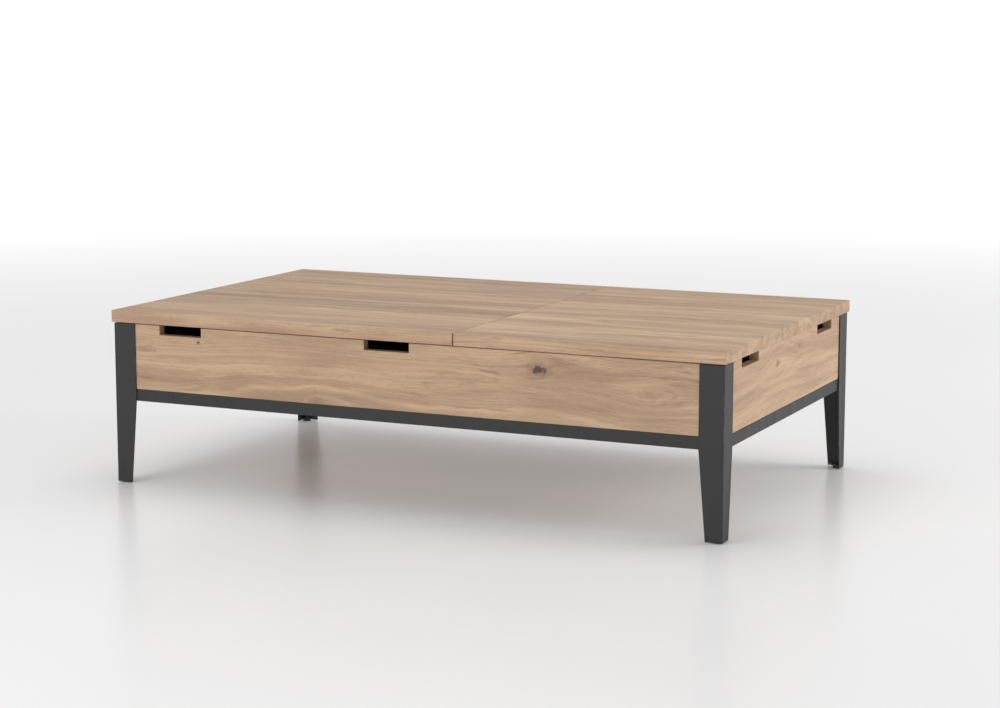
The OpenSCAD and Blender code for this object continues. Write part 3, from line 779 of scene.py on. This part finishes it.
def makeScrews(nodeName):
    lengths = {}
    for place in screwPlaces(nodeName):
        lengths.setdefault(round(place[4], 4), []).append(place)
    whole = bmesh.new()
    for length, places in lengths.items():
        mesh = bpy.data.meshes.new("screw points")
        mesh.from_pydata([tuple(p[0]) for p in places], [], [])
        direction = mesh.attributes.new("direction", "FLOAT_VECTOR", "POINT")
        for index, place in enumerate(places):
            direction.data[index].vector = place[1]
        points = bpy.data.objects.new("screw points", mesh)
        bpy.context.collection.objects.link(points)
        modifier = points.modifiers.new("screws", "NODES")
        modifier.node_group = screwTree
        sizes = {"Shank Radius": places[0][2] / 2, "Shank Length": length,
                 "Head Radius": places[0][2], "Head Height": places[0][3],
                 "Socket Radius": places[0][2] * 0.45, "Material": materials["zinc_hardware"]}
        for item in screwTree.interface.items_tree:
            if item.in_out == "INPUT" and item.name in sizes:
                modifier[item.identifier] = sizes[item.name]
        view = bpy.context.evaluated_depsgraph_get()
        made = bpy.data.meshes.new_from_object(points.evaluated_get(view))
        whole.from_mesh(made)
        bpy.data.objects.remove(points)
        bpy.data.meshes.remove(made)
    heads = [e for e in whole.edges if e.is_manifold and e.calc_face_angle(0.0) > math.radians(60)]
    bmesh.ops.bevel(whole, geom=heads, offset=0.00025, segments=2, profile=0.5, affect="EDGES",
                    clamp_overlap=True)
    finishPiece(whole, nodeName + "_set", materials["zinc_hardware"], nodeName)


for nodeName in slotOf:
    if nodeName.endswith("_screws"):
        makeScrews(nodeName)
print("screws set")

# CAD nodes whose shape is already right keep it and take their finish
for nodeName, node in frame["nodes"].items():
    if slotOf[nodeName] in materials and not node.hide_render:
        node.data.materials.clear()
        node.data.materials.append(materials[slotOf[nodeName]])
print("finishes laid on the other nodes")


# floor, light and camera

floorLook = {"halfSide": 2000.0, "roughness": 0.25, "sheen": 0.35, "cloudScale": 1.6,
             "near": 1.0, "far": 9.0, "glowNear": 0.02, "glowFar": 0.62}
lightLook = {  # place, what it is aimed at, width and height, watts
    "soft box right": ((4.1, 1.5, 1.5), (0.2, 0, 0.25), (2.4, 2.0), 68),
    "soft box over": ((-0.4, 0.5, 3.6), (0, 0, 0.2), (3.0, 2.4), 39),
    "soft box front": ((-1.6, -4.6, 1.6), (0, 0, 0.25), (3.0, 1.8), 78)}
airLook = {"low": 0.03, "high": 0.24, "horizon": 1.02, "above": 0.58}


def makeFloor():
    side = floorLook["halfSide"]
    mesh = bpy.data.meshes.new("studio floor")
    mesh.from_pydata([(-side, -side, 0), (side, -side, 0), (side, side, 0), (-side, side, 0)], [],
                     [(0, 1, 2, 3)])
    floor = bpy.data.objects.new("studio floor", mesh)
    bpy.context.collection.objects.link(floor)
    material, tree, shader = startMaterial("pale floor")
    shader.inputs["Specular IOR Level"].default_value = floorLook["sheen"]
    shader.inputs["Roughness"].default_value = floorLook["roughness"]
    place = objectPlace(tree)
    cloud = noise(tree, place, floorLook["cloudScale"], 3.0)
    tree.links.new(mixColour(tree, cloud, (0.885, 0.885, 0.89, 1), (0.91, 0.91, 0.915, 1)),
                   shader.inputs["Base Color"])
    far = vectorCalc(tree, "LENGTH", place)
    shader.inputs["Emission Color"].default_value = (1, 1, 1, 1)
    glow = fade(tree, far, floorLook["near"], floorLook["far"], floorLook["glowNear"],
                floorLook["glowFar"])
    tree.links.new(glow, shader.inputs["Emission Strength"])
    mesh.materials.append(material)


def areaLight(name, at, target, size, power):
    data = bpy.data.lights.new(name, "AREA")
    data.shape = "RECTANGLE"
    data.size, data.size_y = size
    data.energy = power
    lamp = bpy.data.objects.new(name, data)
    lamp.location = at
    lamp.rotation_mode = "QUATERNION"
    lamp.rotation_quaternion = (Vector(target) - Vector(at)).to_track_quat("-Z", "Y")
    bpy.context.collection.objects.link(lamp)


makeFloor()
for lightName, light in lightLook.items():
    areaLight(lightName, *light)
# the air is brightest along the horizon, like the walls of a white studio
world = bpy.data.worlds.new("studio air")
world.use_nodes = True
air = world.node_tree
direction = air.nodes.new("ShaderNodeTexCoord").outputs["Generated"]
upward = addNode(air, "ShaderNodeSeparateXYZ", {0: direction}).outputs[2]
air.nodes["Background"].inputs[0].default_value = (1.0, 1.0, 1.0, 1)
strength = fade(air, upward, airLook["low"], airLook["high"], airLook["horizon"], airLook["above"])
air.links.new(strength, air.nodes["Background"].inputs[1])
bpy.context.scene.world = world
bpy.context.scene.view_settings.view_transform = "Standard"

cameraLook = {"at": (2.0428, -4.3423, 1.0098), "yaw": 24.854, "pitch": -8.883, "lens": 82.39}
cameraData = bpy.data.cameras.new("camera")
cameraData.lens = cameraLook["lens"]
cameraData.sensor_width = 36.0
cameraData.clip_end = 6000.0
camera = bpy.data.objects.new("camera", cameraData)
camera.location = cameraLook["at"]
camera.rotation_euler = (math.radians(90 + cameraLook["pitch"]), 0, math.radians(cameraLook["yaw"]))
bpy.context.collection.objects.link(camera)
bpy.context.scene.camera = camera
print("floor, lights and camera placed")
